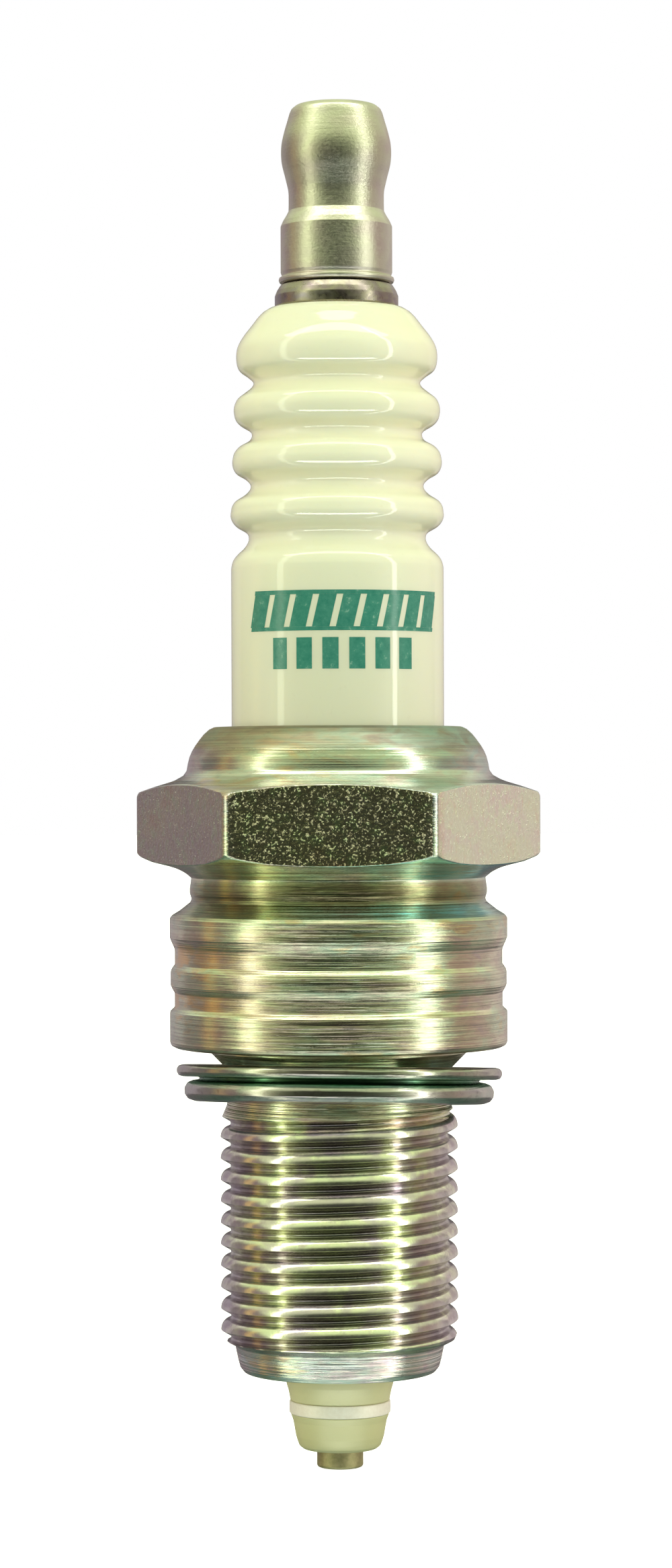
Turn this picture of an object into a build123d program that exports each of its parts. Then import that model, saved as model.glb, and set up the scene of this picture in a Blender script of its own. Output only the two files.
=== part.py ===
"""Spark plug, flat-seat type: M14 x 1.25 thread, 19 mm reach, 20.64 mm (13/16 in) hexagon.

Frame: Z is the plug's axis, +Z towards the terminal. z = 0 is the plane on
which the sealing washer's underside rests. One flat of the hexagon faces -Y.
All sizes in mm.
"""

import math
import os

from build123d import *

# ---------------------------------------------------------------- driving sizes
# shell
THREAD_R = 6.95          # crest radius, M14
THREAD_ROOT_R = 6.36
PITCH = 1.25
CREST_H = 0.16
FIRST_CREST_Z = -0.43
CRESTS = 11
RUNOUT_R = 6.78          # plain collar above the first crest
NECK_R = 6.35
PILOT_R = 6.06
END_Z = -15.7            # firing-end face; the reach is SEAT_Z - END_Z = 19
SEAT_Z = 3.3             # underside of the seat flange
BAND_R = 9.88
HEX_AF = 20.64
HEX_CORNER = 0.56
HEX_LOW_Z, HEX_TOP_Z = 13.2, 19.2
LIP_TOP_Z = 22.0
NOSE_BORE_R = 4.0
CORE_BORE_R = 4.85
BODY_BORE_R = 7.4
# insulator
BODY_R = 6.22            # plain glazed part above the shell
BIG_R = 7.3              # part held inside the shell
CORE_R = 4.7
STUD_BORE_R = 2.35
WIRE_BORE_R = 1.41
CERAMIC_TOP_Z = 46.5
NOSE_TIP_Z = -20.2
# centre electrode
WIRE_R = 1.36
WIRE_TIP_Z = -21.3
HEAD_R = 2.25
COPPER_R = 0.85
# stud and terminal nut
STUD_R = 1.75
M4_R = 2.0
M4_ROOT_R = 1.72
M4_PITCH = 0.7
STUD_TOP_Z = 58.55
FLANGE_R = 3.62
FLANGE_TOP_Z = 47.9
NUT_BORE_R = 2.04
NUT_LOW_Z = 47.92
NUT_TOP_Z = 58.43
NUT_R = 3.27
# sealing washer
WASHER_TILT_X = 3.7      # degrees, -Y side up
WASHER_TILT_Y = 0.7      # degrees, +X side down
WASHER_H = 2.15

os.makedirs("parts", exist_ok=True)

# ------------------------------------------------------------------------ shell
crest_half = CREST_H / 2
flank = (THREAD_R - THREAD_ROOT_R) * math.tan(math.radians(30))
outer = [
    (NOSE_BORE_R + 0.15, END_Z),
    (5.62, END_Z),
    (5.9, -15.45),
    (PILOT_R, -15.1),
    (PILOT_R, -13.95),
    (THREAD_ROOT_R, -13.62),
]
for i in range(CRESTS - 1, -1, -1):
    z = FIRST_CREST_Z - i * PITCH
    outer += [
        (THREAD_ROOT_R, z - crest_half - flank),
        (THREAD_R, z - crest_half),
        (THREAD_R, z + crest_half),
    ]
    if i:
        outer.append((THREAD_ROOT_R, z + crest_half + flank))
outer += [
    (RUNOUT_R, FIRST_CREST_Z + crest_half + 0.08),
    (RUNOUT_R, 0.5),
    (NECK_R, 0.9),
    (NECK_R, 1.8),
    (7.45, 2.9),
    (7.55, 3.0),
    (7.55, SEAT_Z),
    (BAND_R - 0.3, SEAT_Z),
    (BAND_R - 0.09, SEAT_Z + 0.09),
    (BAND_R, SEAT_Z + 0.3),
    (BAND_R, 5.3),
    (BAND_R - 0.06, 5.46),
    (9.6, 5.63),
    (9.6, 6.42),
    (9.7, 6.62),
    (9.84, 6.9),
    (9.84, 7.7),
    (9.72, 7.95),
    (9.59, 8.15),
    (9.59, 9.0),
    (9.7, 9.35),
    (BAND_R, 9.72),
    (BAND_R, 10.8),
    (9.8, 10.98),
    (9.29, 11.3),
    (8.6, 11.85),
    (8.6, 11.95),
    (8.68, 12.4),
    (8.64, 12.87),
    (8.58, 13.19),
    (8.98, 13.5),
    (9.57, 13.8),
    (10.9, 14.13),
    (11.6, 14.45),
    (12.1, 14.95),
    (12.1, 17.75),
    (11.69, 18.2),
    (10.69, 18.54),
    (9.63, 18.86),
    (9.07, 19.17),
    (8.86, 19.5),
    (8.8, 19.8),
    (8.74, 20.1),
    (8.64, 20.4),
    (8.46, 20.75),
    (8.27, 21.06),
    (8.01, 21.4),
    (7.72, 21.72),
    (7.4, 21.93),
    (7.1, LIP_TOP_Z),
    (6.55, LIP_TOP_Z),
    (6.42, 21.88),
    (6.42, 21.55),
    (6.6, 21.4),
    (7.0, 21.4),
    (BODY_BORE_R, 21.0),
    (BODY_BORE_R, 5.2),
    (CORE_BORE_R, 3.5),
    (CORE_BORE_R, -5.5),
    (NOSE_BORE_R, -6.0),
    (NOSE_BORE_R, END_Z + 0.15),
]
with BuildPart() as shell:
    with BuildSketch(Plane.XZ) as shell_section:
        with BuildLine():
            Polyline(*outer, close=True)
        make_face()
    revolve(axis=Axis.Z)
    # the hexagon: everything outside a rounded 20.64 mm (13/16 in) hexagon is cut away
    with BuildSketch(Plane.XY.offset(HEX_LOW_Z - 0.6)) as hex_cut:
        Circle(14.0)
        with BuildSketch(mode=Mode.PRIVATE) as hexagon:
            RegularPolygon(HEX_AF / 2, 6, major_radius=False)
            fillet(hexagon.vertices(), HEX_CORNER)
        add(hexagon.sketch, mode=Mode.SUBTRACT)
    extrude(amount=HEX_TOP_Z - HEX_LOW_Z + 0.6, mode=Mode.SUBTRACT)
shell.part.label = "shell"

# -------------------------------------------------------------------- insulator
with BuildPart() as insulator:
    with BuildSketch(Plane.XZ) as insulator_section:
        with BuildLine():
            ribs = [
                (BODY_R, 31.4), (6.08, 31.77), (5.83, 32.09), (5.5, 32.4),
                (5.28, 32.7), (5.18, 33.03), (5.3, 33.35), (5.84, 33.68),
                (6.12, 33.98), (6.24, 34.3), (6.22, 34.6), (6.16, 34.9),
                (5.95, 35.2), (5.42, 35.55), (5.12, 35.87), (5.08, 36.18),
                (5.36, 36.5), (5.86, 36.8), (6.07, 37.1), (6.14, 37.44),
                (6.1, 37.76), (6.0, 38.07), (5.7, 38.4), (5.18, 38.7),
                (4.99, 39.0), (5.08, 39.3), (5.64, 39.65), (5.92, 39.96),
                (6.02, 40.3), (6.04, 40.6), (5.97, 40.9), (5.8, 41.2),
                (5.42, 41.5), (5.0, 41.85), (4.89, 42.17), (5.22, 42.5),
                (5.64, 42.8), (5.82, 43.1), (5.89, 43.58), (5.85, 44.06),
                (5.73, 44.4), (5.56, 44.7), (5.35, 45.0), (5.11, 45.3),
                (4.88, 45.6), (4.61, 45.95), (4.3, 46.26), (3.95, CERAMIC_TOP_Z),
            ]
            Spline(*ribs)
            Polyline(
                (3.95, CERAMIC_TOP_Z), (STUD_BORE_R, CERAMIC_TOP_Z),
                (STUD_BORE_R, -4.4), (WIRE_BORE_R, -5.2),
                (WIRE_BORE_R, NOSE_TIP_Z), (2.08, NOSE_TIP_Z),
            )
            ThreePointArc((2.08, NOSE_TIP_Z), (2.316, -20.106), (2.42, -19.88))
            Polyline(
                (2.42, -19.88), (2.56, -19.6), (2.62, -19.25), (2.72, -18.6),
                (2.89, -18.15), (2.74, -18.15), (2.74, -17.35), (2.93, -17.35),
                (2.96, -17.05), (3.03, -16.7), (3.13, -16.4), (3.2, -15.7),
                (3.55, -6.2), (3.75, -5.75), (4.62, -5.238), (CORE_R, -5.0),
                (CORE_R, 3.55), (5.2, 4.0), (6.9, 5.35), (BIG_R, 5.8),
                (BIG_R, 18.1), (7.2, 18.35), (6.95, 18.5), (6.35, 18.5),
                (BODY_R, 18.65), (BODY_R, 31.4),
            )
        make_face()
    revolve(axis=Axis.Z)
insulator.part.label = "insulator"

# --------------------------------------------- packing between shell and ceramic
with BuildPart() as inner_seal_washer:
    with BuildSketch(Plane.XZ):
        with BuildLine():
            Polyline((4.05, -5.9706), (4.75, -5.5588), (4.78, -5.36), (4.6, -5.25),
                     (4.05, -5.5734), close=True)
        make_face()
    revolve(axis=Axis.Z)
inner_seal_washer.part.label = "inner_seal_washer"

with BuildPart() as lower_packing_ring:
    with BuildSketch(Plane.XZ):
        with Locations((6.81, 19.06)):
            Circle(0.55)
    revolve(axis=Axis.Z)
lower_packing_ring.part.label = "lower_packing_ring"

with BuildPart() as talc_packing:
    with BuildSketch(Plane.XZ):
        with BuildLine():
            Polyline((6.24, 19.64), (7.38, 19.64), (7.38, 20.24), (6.24, 20.24),
                     close=True)
        make_face()
    revolve(axis=Axis.Z)
talc_packing.part.label = "talc_packing"

with BuildPart() as upper_packing_ring:
    with BuildSketch(Plane.XZ):
        with Locations((6.79, 20.8)):
            Circle(0.52)
    revolve(axis=Axis.Z)
upper_packing_ring.part.label = "upper_packing_ring"

# ------------------------------------------------------------- centre electrode
with BuildPart() as center_electrode_sheath:
    with BuildSketch(Plane.XZ):
        with BuildLine():
            Polyline(
                (COPPER_R, -19.0), (COPPER_R, -2.5), (HEAD_R - 0.15, -2.5),
                (HEAD_R, -2.65), (HEAD_R, -4.4), (WIRE_R, -5.2),
                (WIRE_R, WIRE_TIP_Z + 0.12), (WIRE_R - 0.12, WIRE_TIP_Z),
                (0, WIRE_TIP_Z), (0, -19.4), close=True,
            )
        make_face()
    revolve(axis=Axis.Z)
center_electrode_sheath.part.label = "center_electrode_sheath"

with BuildPart() as center_electrode_core:
    with BuildSketch(Plane.XZ):
        with BuildLine():
            Polyline((0, -19.4), (COPPER_R, -19.0), (COPPER_R, -2.5), (0, -2.5),
                     close=True)
        make_face()
    revolve(axis=Axis.Z)
center_electrode_core.part.label = "center_electrode_core"

with BuildPart() as nose_ring_electrode:
    with BuildSketch(Plane.XZ):
        with BuildLine():
            Polyline((2.75, -18.13), (2.93, -18.13), (2.97, -18.08), (2.97, -17.42),
                     (2.93, -17.37), (2.75, -17.37), close=True)
        make_face()
    revolve(axis=Axis.Z)
nose_ring_electrode.part.label = "nose_ring_electrode"

# ---------------------------------------------------- resistor and its seals
SEAL_R = STUD_BORE_R - 0.01
with BuildPart() as lower_glass_seal:
    with BuildSketch(Plane.XY.offset(-2.5)):
        Circle(SEAL_R)
    extrude(amount=4.5)
lower_glass_seal.part.label = "lower_glass_seal"

with BuildPart() as resistor:
    with BuildSketch(Plane.XY.offset(2.0)):
        Circle(SEAL_R)
    extrude(amount=8.0)
resistor.part.label = "resistor"

# stud: grooved tip in the upper seal, shaft, guide, flange and M4 end
tip = [(0, 11.6), (1.5, 11.6), (1.85, 11.9)]
for i in range(4):
    z = 12.2 + i * 0.9
    tip += [(1.85, z), (1.6, z + 0.2), (1.6, z + 0.5), (1.85, z + 0.7)]
m4 = [(M4_ROOT_R, 48.35)]
for i in range(14):
    z = 48.6 + i * M4_PITCH
    m4 += [(M4_ROOT_R, z - 0.21), (M4_R, z - 0.05), (M4_R, z + 0.05),
           (M4_ROOT_R, z + 0.21)]
with BuildPart() as terminal_stud:
    with BuildSketch(Plane.XZ):
        with BuildLine():
            Polyline(
                *tip, (1.85, 16.0), (STUD_R, 16.2), (STUD_R, 43.6),
                (2.25, 44.0), (2.25, CERAMIC_TOP_Z), (FLANGE_R, CERAMIC_TOP_Z),
                (FLANGE_R, 47.2), (3.5, 47.5), (3.3, FLANGE_TOP_Z - 0.08),
                (3.15, FLANGE_TOP_Z), (1.95, FLANGE_TOP_Z), *m4,
                (1.72, 58.1), (1.6, 58.3), (1.2, 58.48), (0.7, 58.54),
                (0, STUD_TOP_Z), close=True,
            )
        make_face()
    revolve(axis=Axis.Z)
terminal_stud.part.label = "terminal_stud"

with BuildPart() as upper_glass_seal:
    with BuildSketch(Plane.XY.offset(10.0)):
        Circle(SEAL_R)
    extrude(amount=4.4)
    with BuildSketch(Plane.XZ):
        with BuildLine():
            Polyline(*tip, (1.85, 16.0), (0, 16.0), close=True)
        make_face()
    revolve(axis=Axis.Z, mode=Mode.SUBTRACT)
upper_glass_seal.part.label = "upper_glass_seal"

# ----------------------------------------------------------------- terminal nut
with BuildPart() as terminal_nut:
    with BuildSketch(Plane.XZ):
        with BuildLine():
            Polyline(
                (NUT_BORE_R + 0.25, NUT_LOW_Z), (3.2, NUT_LOW_Z),
                (3.38, 48.06), (3.39, 48.15), (3.36, 48.28),
                (3.18, 48.38), (3.2, 48.44), (NUT_R, 48.5), (NUT_R, 51.3),
                (3.13, 51.6), (2.93, 51.93), (2.79, 52.2), (2.79, 53.2),
            )
            Spline(
                (2.79, 53.2), (2.84, 53.55), (2.93, 53.9), (3.05, 54.45),
                (3.15, 54.76), (3.21, 55.1), (3.23, 55.6), (3.21, 56.1),
                (3.13, 56.5), (3.01, 56.97), (2.87, 57.45), (2.72, 57.92),
                (2.5, 58.25), (2.15, NUT_TOP_Z),
            )
            Polyline(
                (2.15, NUT_TOP_Z), (NUT_BORE_R, 58.36),
                (NUT_BORE_R, NUT_LOW_Z + 0.25), (NUT_BORE_R + 0.25, NUT_LOW_Z),
            )
        make_face()
    revolve(axis=Axis.Z)
terminal_nut.part.label = "terminal_nut"

# --------------------------------------------------- folded sealing washer
# it hangs loose below the seat flange, a little tilted, on three staked tabs
tx, ty = math.radians(WASHER_TILT_X), math.radians(WASHER_TILT_Y)
normal = Vector(math.sin(ty), math.sin(tx), math.cos(tx) * math.cos(ty)).normalized()
washer_centre = Vector(0, 0, 0)
side = Vector(math.cos(ty), 0, -math.sin(ty)).normalized()
front = side.cross(normal)
washer_axis = Axis(washer_centre, normal)
washer_plane = Plane(origin=washer_centre, x_dir=side, z_dir=front)
with BuildPart() as outer_gasket:
    with BuildSketch(washer_plane):
        with BuildLine():
            Polyline((7.55, 0.0), (8.5, 0.0))
            ThreePointArc((8.5, 0.0), (9.085, 0.635), (8.5, 1.27))
            Polyline((8.5, 1.27), (8.42, 1.31), (8.42, 1.4), (8.5, 1.44), (9.2, 1.44))
            ThreePointArc((9.2, 1.44), (9.55, 1.795), (9.2, WASHER_H))
            Polyline((9.2, WASHER_H), (7.95, WASHER_H))
            ThreePointArc((7.95, WASHER_H), (7.81, 2.09), (7.75, 1.95))
            Polyline((7.75, 1.95), (7.75, 1.62), (7.25, 1.55), (7.2, 1.45), (7.2, 0.35))
            ThreePointArc((7.2, 0.35), (7.303, 0.103), (7.55, 0.0))
        make_face()
    revolve(axis=washer_axis)
    for turn in (90, 210, 330):
        d = side * math.cos(math.radians(turn)) - front * math.sin(math.radians(turn))
        tab_plane = Plane(origin=washer_centre, x_dir=d, z_dir=d.cross(normal))
        with BuildSketch(tab_plane):
            with BuildLine():
                Polyline((7.4, 0.97), (7.4, 1.24), (6.72, 1.24), (6.62, 1.18),
                         (6.62, 1.09), (6.72, 1.03), (7.1, 0.99), close=True)
            make_face()
        revolve(axis=washer_axis, revolution_arc=26)
outer_gasket.part.label = "outer_gasket"

# ----------------------------------------------------------------------- export
export_step(shell.part, "parts/shell.step")
export_step(insulator.part, "parts/insulator.step")
export_step(inner_seal_washer.part, "parts/inner_seal_washer.step")
export_step(lower_packing_ring.part, "parts/lower_packing_ring.step")
export_step(talc_packing.part, "parts/talc_packing.step")
export_step(upper_packing_ring.part, "parts/upper_packing_ring.step")
export_step(center_electrode_sheath.part, "parts/center_electrode_sheath.step")
export_step(center_electrode_core.part, "parts/center_electrode_core.step")
export_step(nose_ring_electrode.part, "parts/nose_ring_electrode.step")
export_step(lower_glass_seal.part, "parts/lower_glass_seal.step")
export_step(resistor.part, "parts/resistor.step")
export_step(upper_glass_seal.part, "parts/upper_glass_seal.step")
export_step(terminal_stud.part, "parts/terminal_stud.step")
export_step(terminal_nut.part, "parts/terminal_nut.step")
export_step(outer_gasket.part, "parts/outer_gasket.step")
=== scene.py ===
import math

import bmesh
import bpy
import numpy as np
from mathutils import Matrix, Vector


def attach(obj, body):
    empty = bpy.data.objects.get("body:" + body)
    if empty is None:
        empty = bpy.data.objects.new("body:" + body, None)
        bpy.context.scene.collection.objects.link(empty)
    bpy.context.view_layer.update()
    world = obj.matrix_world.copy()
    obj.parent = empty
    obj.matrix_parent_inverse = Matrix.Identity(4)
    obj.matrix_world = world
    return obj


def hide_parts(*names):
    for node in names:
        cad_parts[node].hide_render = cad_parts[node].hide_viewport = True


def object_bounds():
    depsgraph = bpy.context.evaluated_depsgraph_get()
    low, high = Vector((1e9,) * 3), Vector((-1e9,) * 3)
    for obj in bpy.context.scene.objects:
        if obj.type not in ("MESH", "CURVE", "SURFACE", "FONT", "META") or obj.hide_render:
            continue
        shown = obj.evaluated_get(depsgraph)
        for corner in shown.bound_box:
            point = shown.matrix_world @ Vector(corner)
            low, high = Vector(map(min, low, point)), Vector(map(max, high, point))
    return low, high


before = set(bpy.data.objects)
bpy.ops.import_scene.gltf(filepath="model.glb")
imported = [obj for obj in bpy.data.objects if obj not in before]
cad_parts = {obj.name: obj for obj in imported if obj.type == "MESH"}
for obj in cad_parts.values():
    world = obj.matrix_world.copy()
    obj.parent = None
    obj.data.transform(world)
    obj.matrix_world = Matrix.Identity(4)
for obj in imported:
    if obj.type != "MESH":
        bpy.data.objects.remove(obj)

cad_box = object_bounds()
MM = 0.001
PI = math.pi
VIEW, CAM_D = math.radians(2.5), 0.24      # where the camera stands: angle from -Y towards +X, distance


# ------------------------------------------------------------------ mesh tools
def path(points, seg=5):
    """A list of (r, z) points from (r, z[, fillet radius]) corners, open."""
    out = []
    n = len(points)
    for i, p in enumerate(points):
        rad = p[2] if len(p) > 2 else 0.0
        if rad <= 0 or i in (0, n - 1):
            out.append((p[0], p[1]))
            continue
        a, b, c = (np.array(q[:2], float) for q in (points[i - 1], p, points[i + 1]))
        u, v = a - b, c - b
        lu, lv = np.linalg.norm(u), np.linalg.norm(v)
        u, v = u / lu, v / lv
        ang = math.acos(max(-1.0, min(1.0, float(u @ v))))
        if PI - ang < 0.02:
            out.append((p[0], p[1]))
            continue
        t = min(rad / math.tan(ang / 2), 0.48 * lu, 0.48 * lv)
        rad = t * math.tan(ang / 2)
        bis = (u + v) / np.linalg.norm(u + v)
        centre = b + bis * (rad / math.sin(ang / 2))
        p0, p1 = b + u * t, b + v * t
        a0 = math.atan2(*(p0 - centre)[::-1])
        a1 = math.atan2(*(p1 - centre)[::-1])
        d = (a1 - a0 + PI) % (2 * PI) - PI
        for k in range(seg + 1):
            w = a0 + d * k / seg
            out.append((centre[0] + rad * math.cos(w), centre[1] + rad * math.sin(w)))
    return out


def curve_through(points, per=6):
    """A smooth (Catmull-Rom) line through (r, z) points."""
    p = np.array(points, float)
    p = np.vstack([2 * p[0] - p[1], p, 2 * p[-1] - p[-2]])
    out = []
    for i in range(1, len(p) - 2):
        for k in range(per):
            t = k / per
            a, b, c, d = p[i - 1], p[i], p[i + 1], p[i + 2]
            out.append(0.5 * (2 * b + (c - a) * t + (2 * a - 5 * b + 4 * c - d) * t * t
                              + (3 * b - a - 3 * c + d) * t ** 3))
    out.append(p[-2])
    return [tuple(q) for q in out]


def finer(points, step):
    """Adds points so that no run is longer than step."""
    out = [points[0]]
    for a, b in zip(points, points[1:]):
        n = max(1, int(math.ceil(math.hypot(b[0] - a[0], b[1] - a[1]) / step)))
        out += [(a[0] + (b[0] - a[0]) * k / n, a[1] + (b[1] - a[1]) * k / n)
                for k in range(1, n + 1)]
    return out


def make_object(name, verts, faces, sharp=38, outward=True):
    mesh = bpy.data.meshes.new(name)
    mesh.from_pydata([tuple(v) for v in verts], [], faces)
    bm = bmesh.new()
    bm.from_mesh(mesh)
    bmesh.ops.remove_doubles(bm, verts=bm.verts, dist=2e-8)
    bmesh.ops.dissolve_degenerate(bm, edges=bm.edges, dist=1e-8)
    if outward:
        bmesh.ops.recalc_face_normals(bm, faces=bm.faces)
    bm.to_mesh(mesh)
    bm.free()
    mesh.polygons.foreach_set("use_smooth", [True] * len(mesh.polygons))
    if sharp:
        mesh.set_sharp_from_angle(angle=math.radians(sharp))
    mesh.update()
    obj = bpy.data.objects.new(name, mesh)
    bpy.context.scene.collection.objects.link(obj)
    return obj


def grid_faces(index, closed_rows):
    """Quads of a rows x columns index grid, columns closed; repeated corners collapse."""
    rows, cols = index.shape
    faces = []
    last = rows if closed_rows else rows - 1
    for j in range(last):
        a, b = index[j], index[(j + 1) % rows]
        for i in range(cols):
            k = (i + 1) % cols
            quad = [a[i], a[k], b[k], b[i]]
            uniq = []
            for q in quad:
                if q not in uniq:
                    uniq.append(q)
            if len(uniq) > 2:
                faces.append([int(q) for q in uniq])
    return faces


def lathe(name, profile, cols=192, closed=True, sharp=38, axis_fix=None):
    """Turns a closed (r, z) loop, in mm, about Z. Points at r = 0 become one point."""
    th = np.linspace(0, 2 * PI, cols, endpoint=False)
    verts, index = [], []
    for r, z in profile:
        if r < 1e-6:
            index.append([len(verts)] * cols)
            verts.append((0, 0, z * MM))
        else:
            index.append(list(range(len(verts), len(verts) + cols)))
            verts += [(r * MM * math.cos(t), r * MM * math.sin(t), z * MM) for t in th]
    v = np.array(verts)
    if axis_fix is not None:
        v = axis_fix(v)
    return make_object(name, v, grid_faces(np.array(index), closed), sharp)


# -------------------------------------------------------------- thread profile
def vee_profile(crest, root, pitch, crest_flat, crest_round, root_round, rows):
    """(dz, r) along one pitch, from a root's middle down to the next one's, evenly spaced."""
    tan30 = math.tan(math.radians(30))
    h = crest - root
    pts = [(root, pitch / 2), (root, h * tan30 + crest_flat / 2, root_round),
           (crest, crest_flat / 2, crest_round), (crest, -crest_flat / 2, crest_round),
           (root, -h * tan30 - crest_flat / 2, root_round), (root, -pitch / 2)]
    return evenly(path(pts, 6), rows)


def rolled_profile(crest, root, pitch, swell, rows):
    """As vee_profile, for a rolled thread: the upper flank swells outwards and the crest's lower edge is crisp."""
    h = crest - root
    pts = path([(root, 0.58 * pitch), (root, swell + 0.06, 0.06), (root + 0.24 * h, 0.97 * swell)], 4)[:-1]
    pts += [(root + h * math.sin(w), swell * math.cos(w)) for w in np.radians(np.linspace(14, 90, 16))]
    pts += path([pts[-1], (crest, -0.035, 0.03), (root, -0.035 - h * math.tan(math.radians(30)), 0.1),
                 (root, -0.42 * pitch)], 4)[1:]
    return evenly(pts, rows)


def evenly(points, rows):
    p = np.array(points)
    d = np.r_[0, np.cumsum(np.hypot(*np.diff(p, axis=0).T))]
    s = np.linspace(0, d[-1], rows, endpoint=False)
    return np.interp(s, d, p[:, 1]), np.interp(s, d, p[:, 0])


def helix_section(th, crest, pitch, z_ref, z_lo, z_hi, profile, blank, fade):
    """Right-hand thread between z_lo and z_hi. Returns lists of (z, r) rows over the columns, from z_hi
    down, with the row shift at the seam. z_ref is a crest's height at angle 0."""
    dz, rr = profile
    top = int(math.ceil((z_hi - z_ref) / pitch)) + 2
    low = int(math.floor((z_lo - z_ref) / pitch)) - 3
    z, r = [], []
    for k in range(top, low, -1):
        for a, b in zip(dz, rr):
            zc = z_ref + k * pitch + a + pitch * th / (2 * PI)
            groove = z_ref + pitch * th / (2 * PI) + (k + (0.5 if a > 0 else -0.5)) * pitch
            rad = crest - (crest - b) * fade(groove)
            z.append(zc)
            r.append(rad)
    z, r = np.array(z), np.array(r)
    r = np.minimum(r, blank(np.clip(z, z_lo, z_hi)))
    return z, r


def threaded(name, th, upper, lower, thread, z_lo, z_hi, rows, sharp=40):
    """One closed mesh from rows above the thread, the helix and rows below it. upper and lower are
    lists of per-column (r, z) rows; upper ends at z_hi and lower starts at z_lo."""
    cols = len(th)
    c, s = np.cos(th), np.sin(th)
    verts, index = [], []

    def add(r, z):
        r = np.broadcast_to(r, (cols,))
        z = np.broadcast_to(z, (cols,))
        start = len(verts)
        verts.extend(zip(r * c * MM, r * s * MM, z * MM))
        return np.arange(start, start + cols)

    up = [add(r, z) for r, z in upper]
    dn = [add(r, z) for r, z in lower]
    hi, lo = up[-1], dn[0]
    z, r = thread
    idx = np.zeros(z.shape, int)
    for j in range(len(z)):
        inside = (z[j] < z_hi - 1e-6) & (z[j] > z_lo + 1e-6)
        new = add(r[j], np.clip(z[j], z_lo, z_hi))
        idx[j] = np.where(inside, new, np.where(z[j] >= z_hi - 1e-6, hi, lo))
    faces = []
    loop = up
    faces += grid_faces(np.array(up), False)
    faces += grid_faces(np.array(dn), False)
    # close the loop from the last lower row back to the first upper row
    faces += grid_faces(np.array([dn[-1], up[0]]), False)
    n = len(z)
    for j in range(n - 1):
        for i in range(cols):
            if i < cols - 1:
                quad = [idx[j][i], idx[j][i + 1], idx[j + 1][i + 1], idx[j + 1][i]]
            else:
                # one turn on, the same line of the helix is one pitch higher
                if j - rows < 0:
                    continue
                quad = [idx[j][i], idx[j - rows][0], idx[j + 1 - rows][0], idx[j + 1][i]]
            uniq = []
            for q in quad:
                if q not in uniq:
                    uniq.append(q)
            if len(uniq) > 2:
                faces.append([int(q) for q in uniq])
    used = sorted({q for f in faces for q in f})
    remap = {q: k for k, q in enumerate(used)}
    verts = [verts[q] for q in used]
    faces = [[remap[q] for q in f] for f in faces]
    return make_object(name, np.array(verts), faces, sharp)


# ---------------------------------------------------------------------- shell
AF, CORNER, TURNED = 10.32, 0.30, 11.83


def soft_min(a, b, k):
    h = np.maximum(k - np.abs(a - b), 0) / k
    return np.minimum(a, b) - h * h * k / 4


def hexagon_radius(th):
    d = (th + PI / 6) % (PI / 3) - PI / 6        # angle from the nearest corner, corners at 0, 60, ...
    e = np.abs(d)
    flat = AF / np.cos(PI / 6 - e)
    c = (AF - CORNER) / math.cos(PI / 6)
    arc = c * np.cos(e) + np.sqrt(np.maximum(CORNER ** 2 - (c * np.sin(e)) ** 2, 0))
    tangent = PI / 6 - math.atan((AF - CORNER) * math.tan(PI / 6) / AF)
    r = np.where(e < tangent, arc, flat)
    return soft_min(r, np.full_like(r, TURNED), 0.05)


angles = set(np.round(np.arange(0, 360, 1.5), 3))
for corner in range(0, 360, 60):
    angles |= set(np.round(corner + np.arange(-3.6, 3.61, 0.3), 3) % 360)
th = np.radians(sorted(angles))
r_hex = hexagon_radius(th)


flare_low = np.array([(8.62, 13.2), (8.98, 13.5), (9.57, 13.8), (10.9, 14.13), (11.6, 14.42), (12.3, 14.95)])
flare_top = np.array([(9.07, 19.17), (9.63, 18.86), (10.69, 18.54), (11.69, 18.2), (12.3, 17.5)])
EDGE = 0.16


def low_r(z):
    return np.interp(z, flare_low[:, 1], flare_low[:, 0])


def top_r(z):
    return np.interp(z, flare_top[::-1, 1], flare_top[::-1, 0])


z_low = np.interp(r_hex, flare_low[:, 0], flare_low[:, 1])
z_top = np.interp(r_hex, flare_top[:, 0], flare_top[:, 1])

lip = path([(6.9, 21.45), (6.55, 21.5, 0.1), (6.45, 21.62, 0.08), (6.45, 21.86, 0.1), (6.62, 21.99, 0.12),
            (7.25, 22.0, 0.25), (7.55, 21.86, 0.3), (7.86, 21.58, 0.3), (8.1, 21.28, 0.3), (8.36, 20.92, 0.4),
            (8.55, 20.6, 0.4), (8.7, 20.25, 0.4), (8.8, 19.85, 0.4), (8.87, 19.45, 0.3), (9.07, 19.17)], 4)
lip = finer(lip, 0.12)
upper = [(np.full(len(th), r), np.full(len(th), z)) for r, z in lip[:-1]]
for q in np.linspace(0, 1, 9):
    z = 19.17 + (z_top + 0.12 - 19.17) * q
    upper.append((soft_min(top_r(z), r_hex + 0.0, EDGE), z))
for off in (0.07, 0.035, 0.01, -0.015, -0.04, -0.08, -0.14, -0.24):
    z = z_top + off
    upper.append((soft_min(top_r(z), r_hex, EDGE), z))
for q in np.linspace(0, 1, 12)[1:-1]:
    z = (z_top - 0.24) * (1 - q) + (z_low + 0.24) * q
    upper.append((r_hex, z))
for off in (0.24, 0.14, 0.08, 0.04, 0.015, -0.01, -0.035, -0.07, -0.12):
    z = z_low + off
    upper.append((soft_min(low_r(z), r_hex, EDGE), z))
for q in np.linspace(0, 1, 9)[1:]:
    z = (z_low - 0.12) * (1 - q) + 13.2 * q
    upper.append((low_r(z), z))
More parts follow.
